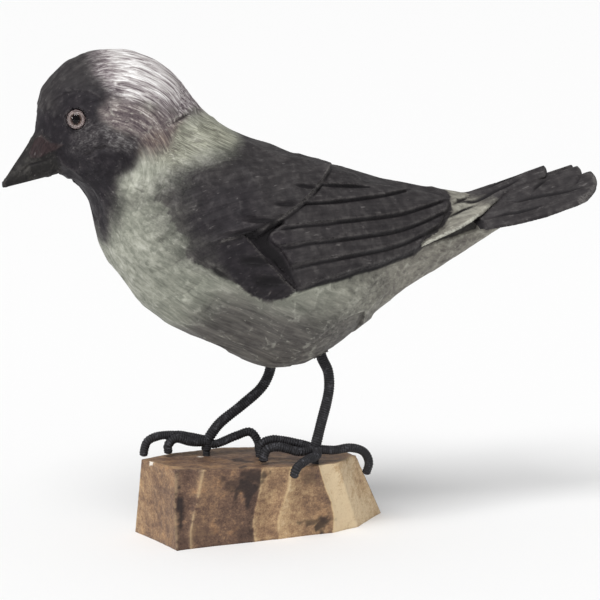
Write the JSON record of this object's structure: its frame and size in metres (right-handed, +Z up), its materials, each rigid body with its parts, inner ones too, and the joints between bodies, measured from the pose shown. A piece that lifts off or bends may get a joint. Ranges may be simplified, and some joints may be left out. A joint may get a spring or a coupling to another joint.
{
  "type": "jackdaw figure",
  "caption": "Hand-carved painted wooden jackdaw with glass eyes, standing on cord-wound wire legs on a knife-cut stained wood block.",
  "frame": {"origin": "centre of the overall box, on the ground plane that the block stands on", "axes": "+Z up, -X the way the bird faces, +X towards its tail, -Y its left side"},
  "size_m": [0.2586, 0.0882, 0.2074],
  "materials": {
    "painted_wood": "matt paint, charcoal on face, wings and tail, pale grey-green on neck and body, silvery crown",
    "eye_glass": "polished clear glass over a painted ring",
    "wound_cord": "black waxed cord wound tightly over steel wire",
    "stained_wood": "brown stain, worn at the knife-cut edges, satin"
  },
  "bodies": {
    "root": {"carved_bird": "painted_wood", "left_eye": "eye_glass", "right_eye": "eye_glass", "left_leg": "wound_cord", "right_leg": "wound_cord", "base_block": "stained_wood"}
  },
  "joints": []
}
